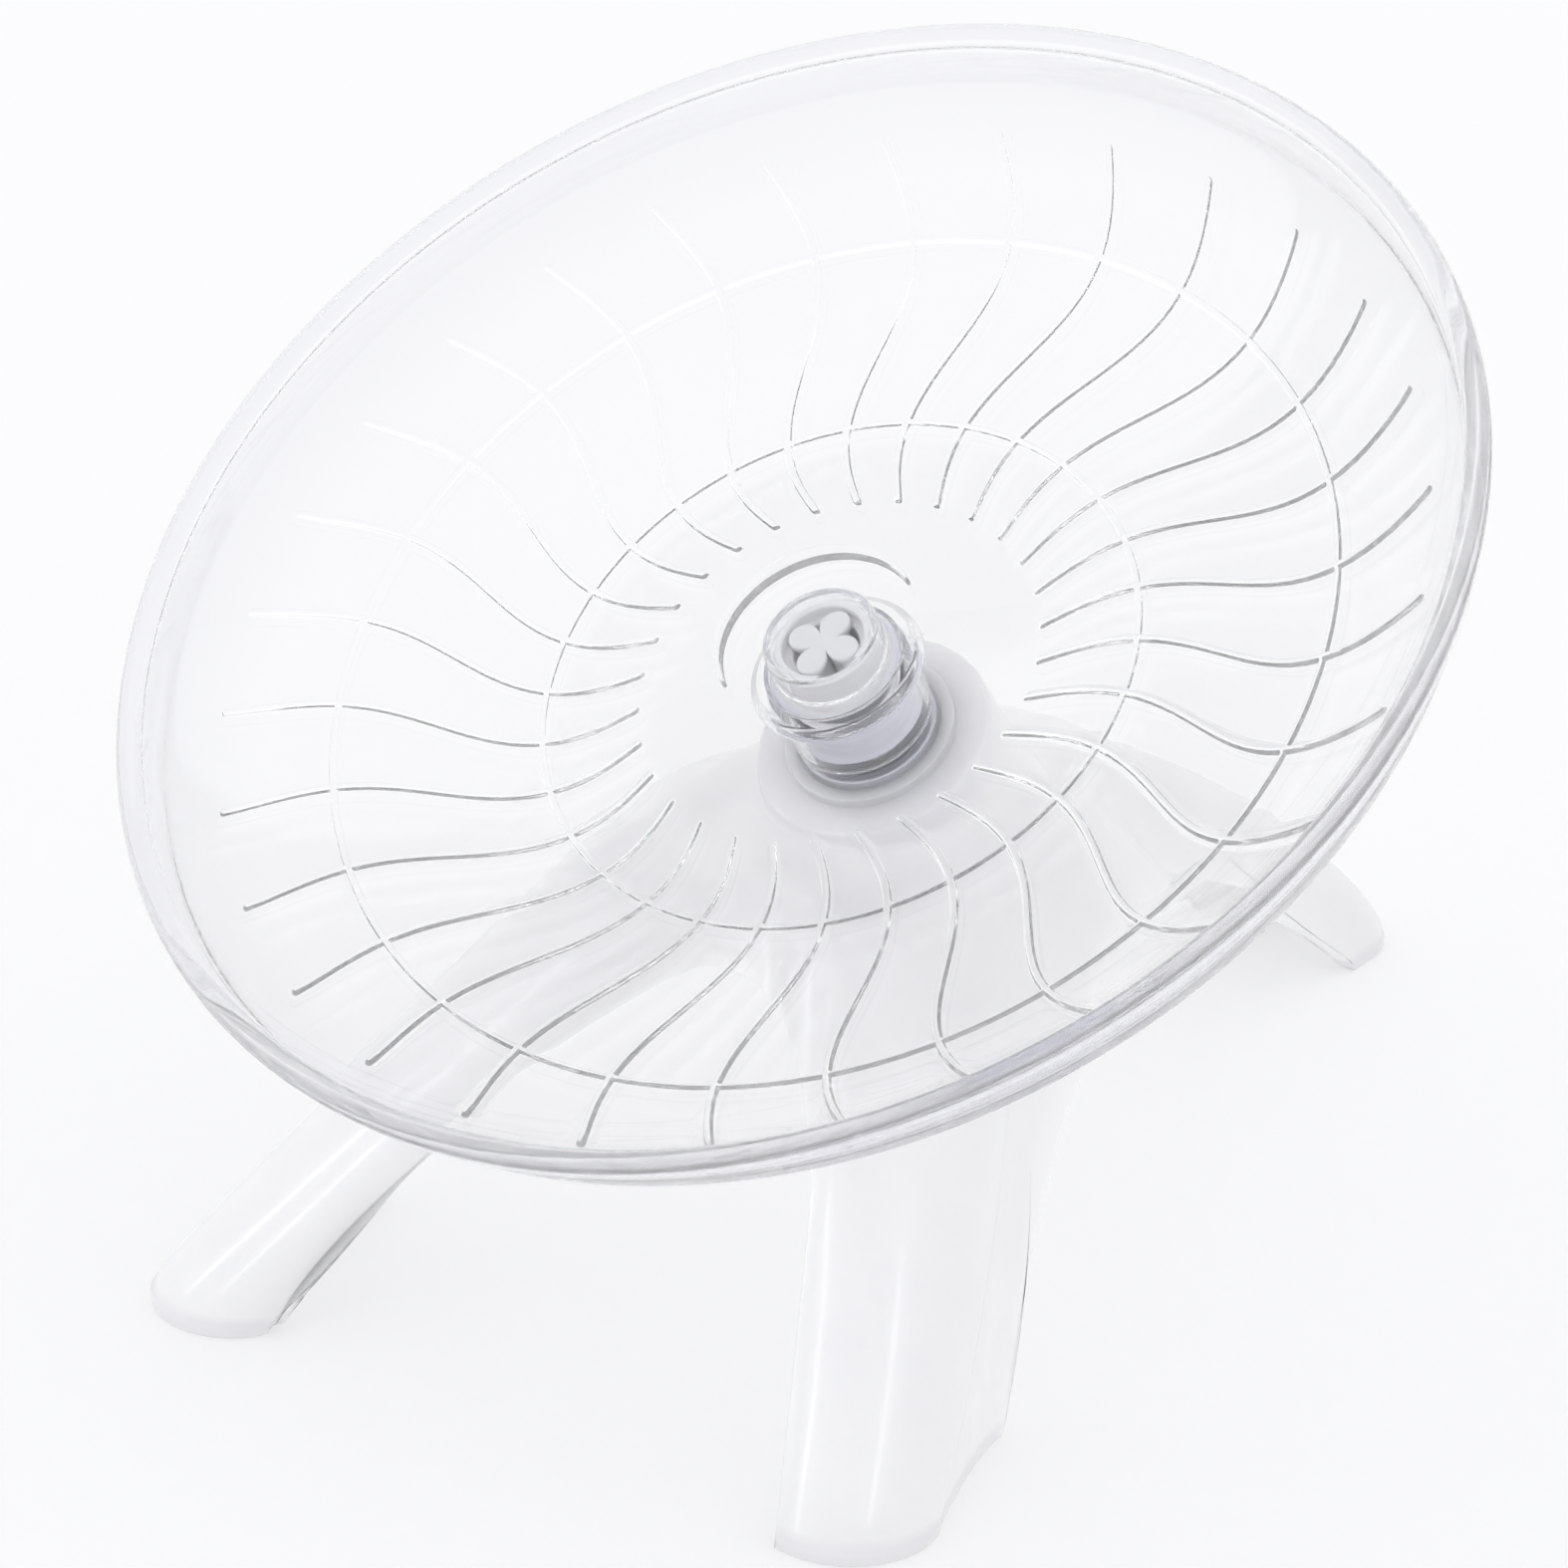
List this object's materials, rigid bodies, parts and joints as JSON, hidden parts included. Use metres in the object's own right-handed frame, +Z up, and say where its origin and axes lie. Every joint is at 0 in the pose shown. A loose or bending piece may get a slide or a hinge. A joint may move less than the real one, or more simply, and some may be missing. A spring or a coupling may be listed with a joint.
{
  "type": "flying saucer exercise wheel",
  "caption": "Clear ribbed saucer on a tilted hub that spins on a ball bearing in a low moulded stand with three arched legs.",
  "frame": {"origin": "on the resting surface, below the middle of the overall box", "axes": "+Z up; -Y towards the low side of the saucer, +Y towards the rear leg; X across the two front legs"},
  "size_m": [0.1798, 0.218, 0.1502],
  "materials": {
    "clear_saucer": "clear polished, faint cool tint",
    "clear_cap": "clear polished",
    "sleeve_grey": "satin lavender grey",
    "spindle_white": "satin off-white",
    "frosted_stand": "milky translucent, glossy",
    "cage_nylon": "natural nylon",
    "bearing_steel": "ground and polished",
    "zinc_screw": "bright zinc plate"
  },
  "bodies": {
    "stand": {"stand": "frosted_stand", "bearing_outer_ring": "bearing_steel", "bearing_shield_upper": "bearing_steel", "bearing_shield_lower": "bearing_steel"},
    "wheel": {"saucer": "clear_saucer", "hub_cap": "clear_cap", "hub_sleeve": "sleeve_grey", "spindle": "spindle_white", "bearing_inner_ring": "bearing_steel", "retaining_washer": "zinc_screw", "retaining_screw": "zinc_screw"},
    "ball_set": {"bearing_cage": "cage_nylon", "bearing_ball_1": "bearing_steel", "bearing_ball_2": "bearing_steel", "bearing_ball_3": "bearing_steel", "bearing_ball_4": "bearing_steel", "bearing_ball_5": "bearing_steel", "bearing_ball_6": "bearing_steel", "bearing_ball_7": "bearing_steel", "bearing_ball_8": "bearing_steel"}
  },
  "joints": [
    {"name": "wheel_spin", "type": "hinge", "parent": "stand", "child": "wheel", "pos_m": [0, -0.01285, 0.06483], "axis": [0, -0.5878, 0.809], "continuous": true},
    {"name": "ball_set_spin", "type": "hinge", "parent": "stand", "child": "ball_set", "pos_m": [0, -0.01285, 0.06483], "axis": [0, -0.5878, 0.809], "continuous": true}
  ],
  "couplings": [
    {"joint": "ball_set_spin", "follows": "wheel_spin", "ratio": 0.3822}
  ]
}
